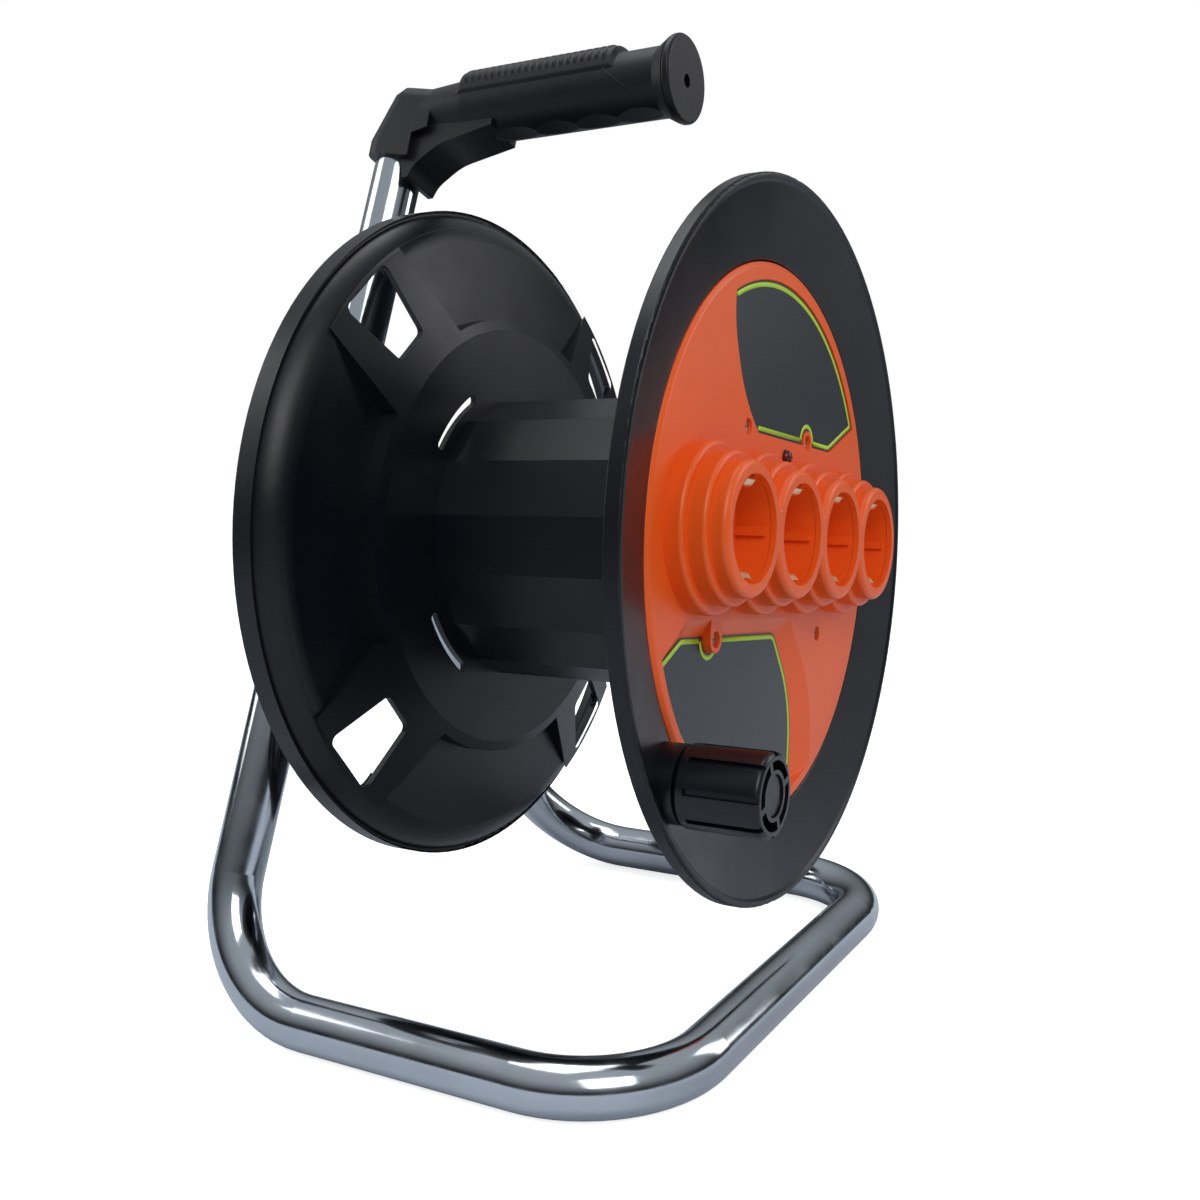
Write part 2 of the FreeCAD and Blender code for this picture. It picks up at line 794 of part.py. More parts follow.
def panel_screw_places():
    high = socket_row_z + screw_offset
    low = socket_row_z - screw_offset
    return [(-upper_screw_x, high), (upper_screw_x, high), (-lower_screw_x, low), (lower_screw_x, low)]


def on_circle(radius, x, sign):
    return V(x, 0, sign * math.sqrt(radius ** 2 - x ** 2))


def upper_label_face():
    """Arc above, slanted left side, flat lower edge and a cut right corner."""
    flat = upper_label_flat
    first = on_circle(label_radius, upper_label_left, 1)
    last = on_circle(label_radius, label_radius * 0.84, 1)
    corners = [first, V(upper_label_left, 0, 90), V(-41, 0, 62), V(-24, 0, flat),
               V(upper_label_right, 0, flat), last]
    edges = rounded_edges(corners, [40, 60, 3, 8])
    edges.append(Part.Arc(last, V(0, 0, label_radius), first).toShape())
    return Part.Face(Part.Wire(Part.__sortEdges__(edges)))


def lower_label_face():
    """Arc below, a cut left corner, flat upper edge and a bowed right side."""
    flat = lower_label_flat
    first = on_circle(label_radius, lower_label_right, -1)
    last = on_circle(label_radius, -label_radius * 0.9, -1)
    corners = [first, V(lower_label_right, 0, -72), V(12, 0, flat), V(lower_label_left, 0, flat), last]
    edges = rounded_edges(corners, [60, 8, 8])
    edges.append(Part.Arc(last, V(0, 0, -label_radius), first).toShape())
    return Part.Face(Part.Wire(Part.__sortEdges__(edges)))


def grown(face, margin):
    return face.makeOffset2D(margin, 0, False, False, True) if margin else face


def label_prism(face, margin, depth1, depth2):
    body = grown(face, margin).extrude(V(0, depth2 - depth1, 0))
    body.translate(V(0, at(depth1), 0))
    return body


def lower_recess_edge():
    """Outline of the lower recess on the panel's face, where its sloping sides start."""
    radius = label_radius + 2
    first = on_circle(radius, lower_label_right + lower_side_slope, -1)
    last = on_circle(radius, -label_radius * 0.93, -1)
    flat = lower_label_flat + lower_slope
    corners = [first, V(lower_label_right + lower_side_slope, 0, -72), V(22, 0, flat),
               V(lower_label_left - 2, 0, flat), last]
    edges = rounded_edges(corners, [60, 8, 8])
    edges.append(Part.Arc(last, V(0, 0, -radius), first).toShape())
    return Part.Wire(Part.__sortEdges__(edges))


def lower_recess(extra):
    """Sloping space round the lower label; extra makes it deeper for the pan behind it."""
    inner = grown(lower_label_face(), label_margin + extra).OuterWire
    inner.translate(V(0, at(lower_label_floor + extra), 0))
    outer = lower_recess_edge()
    outer.translate(V(0, at(panel_face_depth + extra / 2), 0))
    slope = Part.makeLoft([outer, inner], True, True)
    above = Part.Face(outer).extrude(V(0, -6, 0))
    return slope.fuse(above)


def notch(lower, grow, depth1, depth2):
    """U-shaped island round the screw that stands inside a label's flat edge."""
    x = -lower_screw_x if lower else upper_screw_x
    z = socket_row_z - screw_offset if lower else socket_row_z + screw_offset
    flat = lower_label_flat + 12 if lower else upper_label_flat - 12
    radius = 5.6 + grow
    island = rod(radius, depth1, depth2, x, z)
    tongue = block(x - radius, x + radius, depth1, depth2, min(z, flat), max(z, flat))
    return island.fuse(tongue)


def upper_label():
    floor = upper_label_floor
    body = label_prism(upper_label_face(), 0, floor - label_thickness, floor)
    return on_drum(body.cut(notch(False, label_margin, 0, 30)))


def lower_label():
    floor = lower_label_floor
    body = label_prism(lower_label_face(), 0, floor - label_thickness, floor)
    return on_drum(body.cut(notch(True, label_margin, 0, 30)))


def socket_stack(radius, depth1, depth2):
    return fused([rod(radius, depth1, depth2, x, socket_row_z) for x in socket_x])


def front_rounded(shape, depth, radius):
    """Rounds the edges that lie at one depth."""
    edges = []
    for edge in shape.Edges:
        box = edge.BoundBox
        if abs(box.YMin - at(depth)) < 1e-4 and abs(box.YMax - at(depth)) < 1e-4:
            edges.append(edge)
    return shape.makeFillet(radius, edges)


def panel_outside():
    edge_depth = front_face - running_gap
    disc = turned([(0, panel_face_depth), (panel_radius - panel_edge_bevel, panel_face_depth),
                   (panel_radius, panel_face_depth + 1.2), (panel_radius, edge_depth), (0, edge_depth)],
                  [2, 0.6, 0, 0])
    steps = [(foot_radius, collar_back, panel_face_depth, collar_round),
             (collar_radius, ring_back, collar_back, collar_round),
             (ring_radius, socket_front, ring_back, ring_round)]
    stacks = []
    for radius, start, end, bend in steps:
        stacks.append(front_rounded(socket_stack(radius, start, end + 1), start, bend))
    return disc.fuse(stacks)


def panel_inside():
    wall = panel_wall
    edge_depth = front_face
    hollow = [
        rod(panel_radius - wall, panel_face_depth + wall, edge_depth + 5),
        socket_stack(foot_radius - wall, collar_back + wall, panel_face_depth + wall + 1),
        socket_stack(collar_radius - wall, ring_back + wall, collar_back + wall + 1),
        socket_stack(ring_radius - wall, socket_front + wall, ring_back + wall + 1)]
    return fused(hollow)


def socket_panel():
    shell = panel_outside().cut(panel_inside())
    back = upper_label_floor + panel_wall
    pan = label_prism(upper_label_face(), label_margin + panel_wall, panel_face_depth + 1, back)
    well = lower_recess(panel_wall)
    inside = rod(panel_radius - panel_wall + 1, panel_face_depth + 0.5, plateau_depth)
    shell = shell.fuse([pan.common(inside), well.common(inside)])
    towers = []
    drills = []
    for x, z in panel_screw_places():
        towers.append(rod(5.5, panel_face_depth + 1, front_face, x, z))
        drills.append(rod(screw_head_radius + running_gap, -5, screw_seat, x, z))
        drills.append(rod(screw_shank_radius + 0.15, -5, plateau_depth, x, z))
    recesses = [
        label_prism(upper_label_face(), label_margin, 0, upper_label_floor).cut(notch(False, 0, 0, 30)),
        lower_recess(0).cut(notch(True, 0, 0, 30))]
    islands = notch(True, 0, panel_face_depth + 0.6, lower_label_floor + 1)
    openings = [rod(socket_bore_radius, socket_front - 1, 0, x, socket_row_z) for x in socket_x]
    button_hole = rod(button_radius + 0.3, 0, 20, button_x, button_z).fuse(
        rod(button_radius + 1.3, panel_face_depth + panel_wall, 20, button_x, button_z))
    keep_clear = socket_stack(insert_radius + running_gap, socket_front + panel_wall, 25)
    body = shell.fuse(towers).cut(recesses)
    body = body.fuse(islands.common(inside)).cut(drills + openings + [button_hole, keep_clear])
    return on_drum(body.removeSplitter())


def panel_screws():
    screws = []
    seat = screw_seat
    for x, z in panel_screw_places():
        head = rod(screw_head_radius, seat - 2.4, seat, x, z)
        cross = [block(x - 2, x + 2, seat - 2.5, seat - 1.2, z - 0.45, z + 0.45),
                 block(x - 0.45, x + 0.45, seat - 2.5, seat - 1.2, z - 2, z + 2)]
        screws.append(head.cut(cross).fuse(rod(screw_shank_radius, seat, plateau_depth - 0.3, x, z)))
    return on_drum(Part.makeCompound(screws))


# Electrical insert

def socket_insert(x):
    """Recess cup with two pin holes, side guides and slots for the earth clip."""
    front = socket_front + panel_wall + 0.2
    floor = insert_floor
    back = floor + 2.5
    row = socket_row_z
    cup = rod(insert_radius, front, back, x, row).cut(rod(socket_bore_radius, front - 1, floor, x, row))
    guides = []
    for side in (-1, 1):
        edge = side * (socket_bore_radius + 0.5)
        inner = side * (socket_bore_radius - guide_height)
        guides.append(block(x + min(edge, inner), x + max(edge, inner), front + 2, floor,
                            row - guide_width / 2, row + guide_width / 2))
    cuts = [rod(pin_hole_radius, floor - 1, back + 1, x + side * pin_spacing / 2, row) for side in (-1, 1)]
    half = clip_width / 2 + 1.2
    for side in (-1, 1):
        low, high = sorted((side * (socket_bore_radius - 3), side * (insert_radius + 1)))
        cuts.append(block(x - half, x + half, front + 0.8, back + 1, row + low, row + high))
    return on_drum(cup.fuse(guides).cut(cuts))


def earth_clip(x):
    """Bent brass strip: a bar behind the cup and a sprung prong at its top and bottom."""
    reach = socket_bore_radius + 0.6
    back = insert_floor + 3.6
    bulge_depth = insert_floor - 12.0
    prong = [(bulge_depth - 2.2, reach - 2.5), (bulge_depth, reach - clip_bulge), (insert_floor - 2.5, reach)]
    path = [V(0, at(d), -h) for d, h in prong] + [V(0, at(back), -reach), V(0, at(back), reach)]
    path += [V(0, at(d), h) for d, h in reversed(prong)]
    spine = Part.Wire(rounded_edges(path, [1.6, 6.0, 1.2, 1.2, 6.0, 1.6]))
    strip = spine.extrude(V(clip_width, 0, 0)).makeOffsetShape(clip_gauge, 1e-4, fill=True)
    strip.translate(V(x - clip_width / 2, 0, socket_row_z))
    return on_drum(strip)


def earth_busbar():
    back = insert_floor + 3.9
    low = socket_row_z - 15
    return on_drum(block(socket_x[0] - 6, socket_x[-1] + 6, back, back + bar_thickness, low, low + 4))


def contact_bar(side):
    """Brass bar with one sleeve for each socket; side -1 is live, 1 is neutral."""
    front = insert_floor + 2.8
    back = front_face - 0.7
    bar_front = front + 5.0
    bar_back = bar_front + bar_thickness
    row = socket_row_z
    sleeves = []
    bores = []
    for x in socket_x:
        place = x + side * pin_spacing / 2
        sleeves.append(rod(pin_sleeve_radius, front, back, place, row))
        tab_low, tab_high = sorted((row, row - side * 6))
        sleeves.append(block(place - 2.5, place + 2.5, bar_front, bar_back, tab_low, tab_high))
        bores.append(rod(pin_sleeve_bore, front - 1, back + 1, place, row))
    low, high = sorted((row - side * 4.4, row - side * 9.4))
    first = socket_x[0] + side * pin_spacing / 2 - 4
    last = socket_x[-1] + side * pin_spacing / 2 + 4
    bar = block(first, last, bar_front, bar_back, low, high)
    return on_drum(bar.fuse(sleeves).cut(bores).removeSplitter())


def live_bar():
    return contact_bar(-1)


def neutral_bar():
    return contact_bar(1)


def terminal_block():
    """Three-way block behind the plateau, inside the barrel, with wire entries and screw wells."""
    front = plateau_depth + running_gap
    back = front + terminal_thickness
    low, high = terminal_z - terminal_height / 2, terminal_z + terminal_height / 2
    body = block(terminal_x - terminal_width / 2, terminal_x + terminal_width / 2, front, back, low, high)
    cuts = []
    for x in terminal_ways():
        cuts.append(rod(2.2, back - 6, back + 1, x, terminal_z))
        cuts.append(block(x - 1.8, x + 1.8, front + 1.5, front + 5, low - 2, high + 2))
    return on_drum(body.cut(cuts))


def terminal_ways():
    return [terminal_x + terminal_pitch * i for i in (-1, 0, 1)]


def terminal_screws():
    back = plateau_depth + running_gap + terminal_thickness
    screws = [rod(2.0, back - 4.5, back - 1.2, x, terminal_z) for x in terminal_ways()]
    return on_drum(Part.makeCompound(screws))


def cutout_housing():
    """Overload cut-out in the plateau's square hole; the reset button slides in its sleeve."""
    front = panel_face_depth + panel_wall + 0.3
    body = block(button_x - 6, button_x + 6, front + 6, plateau_depth + 14, button_z - 12, button_z + 12)
    sleeve = rod(button_radius + 1, front, front + 7, button_x, button_z)
    flange = block(button_x - 8, button_x + 8, front_face - 2, front_face,
                   button_z - 14, button_z + 14)
    bore = rod(button_radius + 0.05, front - 1, front + 14 + button_travel, button_x, button_z)
    return on_drum(body.fuse([sleeve, flange]).cut(bore).removeSplitter())


def reset_button():
    front = panel_face_depth - button_height
    stem = rod(button_radius, front, panel_face_depth + panel_wall + 13.5, button_x, button_z)
    return on_drum(front_rounded(stem, front, 2.6))


# Crank knob

def knob_place():
    angle = math.radians(knob_angle)
    return knob_circle * math.cos(angle), knob_circle * math.sin(angle)


def knob_spindle():
    x, z = knob_place()
    pin = rod(spindle_radius - 0.02, cap_depth + 1.5, spindle_head_depth, x, z)
    head = rod(spindle_head_radius, spindle_head_depth, spindle_head_depth + 2, x, z)
    depth = knob_cavity_depth
    groove = ring(spindle_radius + 1, spindle_radius - 0.8, depth - 1.5, depth - 0.4, x, z)
    return on_drum(pin.fuse(head).cut(groove))


def knob_retaining_ring():
    x, z = knob_place()
    body = ring(6.5, spindle_radius - 0.75, knob_cavity_depth - 1.4, knob_cavity_depth - 0.5, x, z)
    return on_drum(body.cut(block(x - 1, x + 1, -60, 0, z + 3.5, z + 8)))


def crank_knob():
    """Fluted sleeve with a bore, a cavity for the ring and four spokes round the cap."""
    x, z = knob_place()
    body = rod(knob_radius, knob_front, knob_back, x, z)
    body = front_rounded(front_rounded(body, knob_front, 2.0), knob_back, 1.5)
    grooves = []
    for i in range(knob_groove_count):
        groove = block(knob_radius - 1.6, knob_radius + 3, knob_front - 1, knob_back - 4, -1.3, 1.3)
        grooves.append(spun(groove, 360 / knob_groove_count * i))
    pocket = ring(13.2, 9.6, knob_front - 1, knob_front + 7)
    spokes = []
    for i in range(knob_spoke_count):
        spoke = block(9, 14, knob_front - 2, knob_front + 8, -1.2, 1.2)
        spokes.append(spun(spoke, 22.5 + 360 / knob_spoke_count * i))
    local = Part.makeCompound(grooves + [pocket.cut(spokes)])
    local.translate(V(x, 0, z))
    cuts = [local, rod(spindle_radius + 0.05, knob_front - 1, knob_back + 1, x, z),
            rod(cap_radius + clamp_gap, knob_front - 1, knob_cavity_depth, x, z)]
    return on_drum(body.cut(cuts))


def knob_cap():
    x, z = knob_place()
    cap = rod(cap_radius, knob_front + 0.8, cap_depth, x, z)
    return on_drum(front_rounded(cap, knob_front + 0.8, 0.6))


def pieces():
    """Every node with the function that makes it."""
    made = {
        "frame_tube": frame_tube, "axle_saddle": axle_saddle, "axle": axle, "axle_nut": axle_nut,
        "front_washer": front_washer, "rear_washer": rear_washer,
        "grip_left": lambda: grip_half(-1), "grip_right": lambda: grip_half(1),
        "grip_screws": grip_screws, "grip_end_cap": grip_end_cap,
        "rear_flange": rear_flange, "barrel": barrel, "front_flange": front_flange,
        "front_tie_screws": front_tie_screws, "rear_tie_screws": rear_tie_screws,
        "front_bush": front_bush, "rear_bush": rear_bush, "cable_inlet": cable_inlet,
        "socket_panel": socket_panel, "panel_screws": panel_screws,
        "upper_label": upper_label, "lower_label": lower_label,
        "earth_busbar": earth_busbar, "live_bar": live_bar, "neutral_bar": neutral_bar,
        "terminal_block": terminal_block, "terminal_screws": terminal_screws,
        "cutout_housing": cutout_housing, "reset_button": reset_button,
        "knob_spindle": knob_spindle, "knob_retaining_ring": knob_retaining_ring,
        "crank_knob": crank_knob, "knob_cap": knob_cap,
    }
    for i, x in enumerate(socket_x):
        made["socket_insert_%d" % (i + 1)] = lambda x=x: socket_insert(x)
        made["earth_clip_%d" % (i + 1)] = lambda x=x: earth_clip(x)
    return made


def main():
    os.makedirs("parts", exist_ok=True)
    for name, make in pieces().items():
        shape = make()
        print(name, "solids", len(shape.Solids), "volume", round(shape.Volume), "valid", shape.isValid())
        shape.exportStep("parts/%s.step" % name)


if __name__ == "__main__":
    main()
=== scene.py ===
"""Looks of the extension cord reel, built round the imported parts. Lengths are in metres."""

import json
import math

import bmesh
import bpy
from mathutils import Matrix, Vector


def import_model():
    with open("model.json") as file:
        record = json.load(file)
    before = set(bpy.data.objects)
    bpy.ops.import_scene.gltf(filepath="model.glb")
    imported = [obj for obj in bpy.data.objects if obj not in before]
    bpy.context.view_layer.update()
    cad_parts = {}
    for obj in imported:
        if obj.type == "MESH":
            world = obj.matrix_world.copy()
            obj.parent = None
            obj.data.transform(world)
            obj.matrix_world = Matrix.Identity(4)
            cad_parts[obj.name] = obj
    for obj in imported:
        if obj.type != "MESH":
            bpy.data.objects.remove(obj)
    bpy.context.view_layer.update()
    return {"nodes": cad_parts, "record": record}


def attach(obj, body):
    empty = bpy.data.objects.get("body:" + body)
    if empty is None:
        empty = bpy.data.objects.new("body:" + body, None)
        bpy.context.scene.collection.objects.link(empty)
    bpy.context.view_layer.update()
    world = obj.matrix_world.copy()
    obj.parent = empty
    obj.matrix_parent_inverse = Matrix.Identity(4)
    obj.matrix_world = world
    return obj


# Places that the pieces share with the part
TUBE_RADIUS = 0.012
AXIS_HEIGHT = 0.213
HANDLE_HEIGHT = 0.420
BASE_HALF_WIDTH = 0.144
REAR_CORNER_Y = 0.1253
HANDLE_Y = 0.1103
GRIP_RADIUS = 0.0156
GRIP_RISE = 0.0009

# How deep the pieces on the grip are sunk into it
SINK = 0.0001

# Weld bead between the leg and the post, with the range of its roughness
WELD_RADIUS = 0.0016
WELD_SCALLOP = 0.00022
WELD_STEPS = 180
WELD_STEPS_PER_SCALLOP = 5
WELD_SIDES = 10
WELD_TONE = 0.62
WELD_ROUGHNESS = (0.26, 0.46)
WELD_GRAIN_DEPTH = 0.00006

# Raised lines on the grip's sides, from LINE_TURN degrees above the side to as many below it.
# Their tips have LINE_TIP of the radius, and LINE_TAPER says how fast they thicken.
LINE_RADIUS = 0.00045
LINE_START = 0.113
LINE_SWEEP = 0.027
LINE_CURVE = 1.6
LINE_TURN = 52.0
LINE_TIP = 0.2
LINE_TAPER = 4
LINE_STEPS = 40
LINE_SIDES = 8

# Thumb pad, along the grip from the tube's corner, with angles in degrees above the grip's side
PAD_START = 0.0385
PAD_END = 0.1265
PAD_SLOPE = 0.003
PAD_EDGE = 3.0
PAD_RIM_HEIGHT = 0.0010
PAD_RIM_TURN = 5.0
PAD_CROWN_HEIGHT = 0.00205
PAD_CROWN_GAP = 3.0
PAD_CROWN_TURN = 41.0
PAD_BACK_DEPTH = 0.0006
PAD_BACK_SKIP = 4
PAD_ROUND_STEPS = 68
PAD_STEPS_PER_RIB = 12

# Ribs of the thumb pad. A rib rises between two heights of a wave, and fades out between two angles.
RIBS_START = 0.0425
RIB_PITCH = 0.0038
RIB_COUNT = 21
RIB_HEIGHT = 0.0007
RIB_FLANK = (0.35, 0.65)
RIB_FADE = (20.0, 25.0)

# Printed border of the labels, and how a label's front and its slanted side are told from the rest
BORDER_INSET = 0.0008
BORDER_WIDTH = 0.0020
PRINT_HEIGHT = 0.00004
LEFT_SLANT = -0.55
MITRE_LIMIT = 0.5
FRONT_FACING = -0.9
SAME_POINT = 1e-6
SAME_CORNER = 1e-7

# Camera, with its angles in degrees and its lens and film in millimetres
CAMERA_PLACE = Vector((-0.5560, -0.3148, 0.2569))
CAMERA_YAW = 60.32
CAMERA_PITCH = -6.52
CAMERA_ROLL = -0.61
CAMERA_LENS = 39.79
CAMERA_FILM = 36.0
CAMERA_NEAR = 0.01

# Studio: floor, lights and walls, whose brightness is given from straight down at 0 to straight up at 1
FLOOR_SIZE = 30.0
FLOOR_DROP = 0.0005
FLOOR_BOUNCE = (0.62, 0.66, 0.72)
LIGHT_TARGET = Vector((0.0, 0.0, 0.2))
WALL_TINT = (0.90, 0.95, 1.0)
WALLS = ((0.0, 0.40), (0.44, 0.30), (0.485, 0.03), (0.57, 0.04), (0.66, 0.22), (0.80, 0.45), (1.0, 0.55))

# Finishes, as linear colours
BLACK = (0.0042, 0.0050, 0.0082)
GRIP_BLACK = (0.0038, 0.0040, 0.0052)
ORANGE = (0.90, 0.112, 0.009)
CHROME = (0.56, 0.60, 0.65)
ZINC = (0.60, 0.61, 0.63)
BRASS = (0.95, 0.84, 0.52)
WELD_GREY = (0.50, 0.49, 0.47)
LABEL = (0.021, 0.026, 0.031)
LIME = (0.48, 0.76, 0.035)
BEARING = (0.66, 0.66, 0.63)
MAROON = (0.11, 0.008, 0.010)

# Part of a noise's range that holds most of its values
NOISE_LOW = 0.3
NOISE_HIGH = 0.7

# What all plastics or all metals share
PLASTIC_IOR = 1.5
ROUGHNESS_PER_TONE = 0.25
METAL_TONE = 0.88
METAL_WAVE_DEPTH = 0.00001


def set_inputs(node, values):
    """Sets inputs of a node by their names."""
    for name, value in values.items():
        node.inputs[name].default_value = value


def add_node(tree, kind, values):
    """Adds a node with values for its inputs."""
    node = tree.nodes.new(kind)
    set_inputs(node, values)
    return node


def new_material(name):
    """Material, with its node tree and its main shader."""
    material = bpy.data.materials.new(name)
    material.use_nodes = True
    shader = material.node_tree.nodes["Principled BSDF"]
    return material, material.node_tree, shader


def noise(tree, scale, detail, stretch=(1.0, 1.0, 1.0)):
    """Noise in the object's own space, drawn out along an axis whose stretch is under 1."""
    place = tree.nodes.new("ShaderNodeTexCoord")
    spread = add_node(tree, "ShaderNodeMapping", {"Scale": stretch})
    texture = add_node(tree, "ShaderNodeTexNoise", {"Scale": scale, "Detail": detail})
    tree.links.new(place.outputs["Object"], spread.inputs["Vector"])
    tree.links.new(spread.outputs["Vector"], texture.inputs["Vector"])
    return texture.outputs["Fac"]


def in_range(tree, value, low, high):
    """The middle of a noise's range spread between two numbers."""
    ends = {"From Min": NOISE_LOW, "From Max": NOISE_HIGH, "To Min": low, "To Max": high}
    spread = add_node(tree, "ShaderNodeMapRange", ends)
    tree.links.new(value, spread.inputs["Value"])
    return spread.outputs["Result"]


def bumps(tree, shader, heights):
    """Adds up (height, depth in metres) pairs as bumps."""
    normal = None
    for height, depth in heights:
        bump = add_node(tree, "ShaderNodeBump", {"Strength": 1.0, "Distance": depth})
        tree.links.new(height, bump.inputs["Height"])
        if normal:
            tree.links.new(normal, bump.inputs["Normal"])
        normal = bump.outputs["Normal"]
    tree.links.new(normal, shader.inputs["Normal"])


def two_tones(tree, shader, value, color, share):
    """Base colour between the colour itself and a darker share of it."""
    mix = tree.nodes.new("ShaderNodeMix")
    mix.data_type = "RGBA"
    set_inputs(mix, {"A": (*[c * share for c in color], 1.0), "B": (*color, 1.0)})
    tree.links.new(in_range(tree, value, 0.0, 1.0), mix.inputs["Factor"])
    tree.links.new(mix.outputs["Result"], shader.inputs["Base Color"])


def plastic(name, color, roughness, grain, grain_depth, wave_depth=0.00003, tone=0.82, gloss=0.38):
    """Moulded plastic: fine grain over slight sink marks, with patches darker or more matt than others."""
    material, tree, shader = new_material(name)
    two_tones(tree, shader, noise(tree, scale=14.0, detail=6.0), color, tone)
    set_inputs(shader, {"IOR": PLASTIC_IOR, "Specular IOR Level": gloss})
    uneven = ROUGHNESS_PER_TONE * (1.0 - tone)
    patches = noise(tree, scale=38.0, detail=6.0)
    rough = in_range(tree, patches, roughness - uneven, roughness + uneven)
    tree.links.new(rough, shader.inputs["Roughness"])
    waves = noise(tree, scale=22.0, detail=1.0)
    bumps(tree, shader, [(waves, wave_depth), (noise(tree, grain, detail=4.0), grain_depth)])
    return material


def metal(name, color, roughness, cloudiness, scratch_depth):
    """Plated metal with a cloudy finish and fine scratches that run from front to back."""
    material, tree, shader = new_material(name)
    two_tones(tree, shader, noise(tree, scale=30.0, detail=6.0), color, METAL_TONE)
    set_inputs(shader, {"Metallic": 1.0})
    clouds = in_range(tree, noise(tree, scale=70.0, detail=8.0), roughness, roughness + cloudiness)
    tree.links.new(clouds, shader.inputs["Roughness"])
    scratches = noise(tree, scale=900.0, detail=2.0, stretch=(1.0, 0.04, 1.0))
    waves = noise(tree, scale=55.0, detail=2.0)
    bumps(tree, shader, [(waves, METAL_WAVE_DEPTH), (scratches, scratch_depth)])
    return material


def materials():
    """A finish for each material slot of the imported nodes. A larger grain is finer; depths are in metres."""
    return {
        # Bright chrome of the bent tube
        "tube": metal("tube", CHROME, roughness=0.09, cloudiness=0.10, scratch_depth=0.0000015),
        # Zinc-plated axle, saddle, washers, screws and spindle
        "steel": metal("steel", ZINC, roughness=0.28, cloudiness=0.14, scratch_depth=0.000006),
        # Matt, coarse plastic of the handle
        "grip": plastic("grip", GRIP_BLACK, roughness=0.44, grain=2600.0, grain_depth=0.00003,
                        gloss=0.30),
        # Flanges and barrel, with the sink marks of large mouldings
        "drum_black": plastic("drum_black", BLACK, roughness=0.34, grain=2400.0, grain_depth=0.000012,
                              wave_depth=0.00006, gloss=0.32),
        # Socket panel and its inserts
        "orange": plastic("orange", ORANGE, roughness=0.38, grain=2400.0, grain_depth=0.000010,
                          wave_depth=0.00004, tone=0.93, gloss=0.42),
        # Terminal block and housing of the cut-out
        "insert": plastic("insert", BLACK, roughness=0.45, grain=2200.0, grain_depth=0.00002),
        # Earth clips, bars and terminal screws
        "brass": metal("brass", BRASS, roughness=0.26, cloudiness=0.12, scratch_depth=0.000003),
        # Smooth film of the labels
        "label": plastic("label", LABEL, roughness=0.34, grain=3000.0, grain_depth=0.000003,
                         wave_depth=0.00001, tone=0.96),
        # Crank knob and its cap, a little shinier than the drum
        "knob": plastic("knob", BLACK, roughness=0.30, grain=2400.0, grain_depth=0.000012),
        # Pale bearing bushes
        "bearing": plastic("bearing", BEARING, roughness=0.40, grain=2200.0, grain_depth=0.00001),
        # Reset button
        "button": plastic("button", MAROON, roughness=0.22, grain=2600.0, grain_depth=0.000004),
        # Rubber of the cable inlet
        "grommet": plastic("grommet", GRIP_BLACK, roughness=0.66, grain=1500.0, grain_depth=0.00004),
    }


def lime_print():
    """Ink of the border: even, with a slightly rough film."""
    return plastic("lime_print", LIME, roughness=0.34, grain=3200.0, grain_depth=0.000002,
                   wave_depth=0.00001, tone=0.94)


def weld_metal():
    """Weld bead: duller than the tube, with heat colours in patches."""
    material, tree, shader = new_material("weld")
    two_tones(tree, shader, noise(tree, scale=160.0, detail=6.0), WELD_GREY, WELD_TONE)
    set_inputs(shader, {"Metallic": 1.0})
    rough = in_range(tree, noise(tree, scale=240.0, detail=5.0), *WELD_ROUGHNESS)
    tree.links.new(rough, shader.inputs["Roughness"])
    bumps(tree, shader, [(noise(tree, scale=900.0, detail=4.0), WELD_GRAIN_DEPTH)])
    return material


def dress(nodes, slots, finishes):
    """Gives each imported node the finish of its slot."""
    for name, node in nodes.items():
        node.data.materials.clear()
        node.data.materials.append(finishes[slots[name]])


def add_piece(name, shape, material, body):
    """Turns a shape's faces outwards and puts it in the scene as a smooth piece that rides on a body."""
    bmesh.ops.recalc_face_normals(shape, faces=shape.faces)
    mesh = bpy.data.meshes.new(name)
    shape.to_mesh(mesh)
    shape.free()
    mesh.materials.append(material)
    for polygon in mesh.polygons:
        polygon.use_smooth = True
    piece = bpy.data.objects.new(name, mesh)
    bpy.context.scene.collection.objects.link(piece)
    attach(piece, body)


def join_rows(shape, first, second, shift=0):
    """Faces between two rings of points, where the second ring is turned by shift places."""
    turned = second[shift:] + second[:shift]
    for k in range(len(first)):
        after = (k + 1) % len(first)
        shape.faces.new((first[k], first[after], turned[after], turned[k]))


def close_ends(shape, rows):
    """A face over the first and over the last ring of points."""
    shape.faces.new(rows[0][::-1])
    shape.faces.new(rows[-1])


def nearest_turn(vertex, row):
    """How many places round a row lies the vertex nearest to a given one."""
    return min(range(len(row)), key=lambda k: (row[k].co - vertex.co).length)


def swept(points, radii, closed, sides):
    """Round bead along points, whose radius follows radii. An open one gets a face over each end."""
    shape = bmesh.new()
    count = len(points)
    turns = [2 * math.pi * k / sides for k in range(sides)]
    rows = []
    for i, (point, radius) in enumerate(zip(points, radii)):
        before = points[(i - 1) % count] if closed else points[max(i - 1, 0)]
        after = points[(i + 1) % count] if closed else points[min(i + 1, count - 1)]
        along = (after - before).normalized()
        side = along.orthogonal() if not rows else side - along * side.dot(along)
        side.normalize()
        up = along.cross(side)
        ring = [point + (side * math.cos(t) + up * math.sin(t)) * radius for t in turns]
        rows.append([shape.verts.new(place) for place in ring])
    for first, second in zip(rows, rows[1:]):
        join_rows(shape, first, second)
    if closed:
        join_rows(shape, rows[-1], rows[0], nearest_turn(rows[-1][0], rows[0]))
    else:
        close_ends(shape, rows)
    return shape


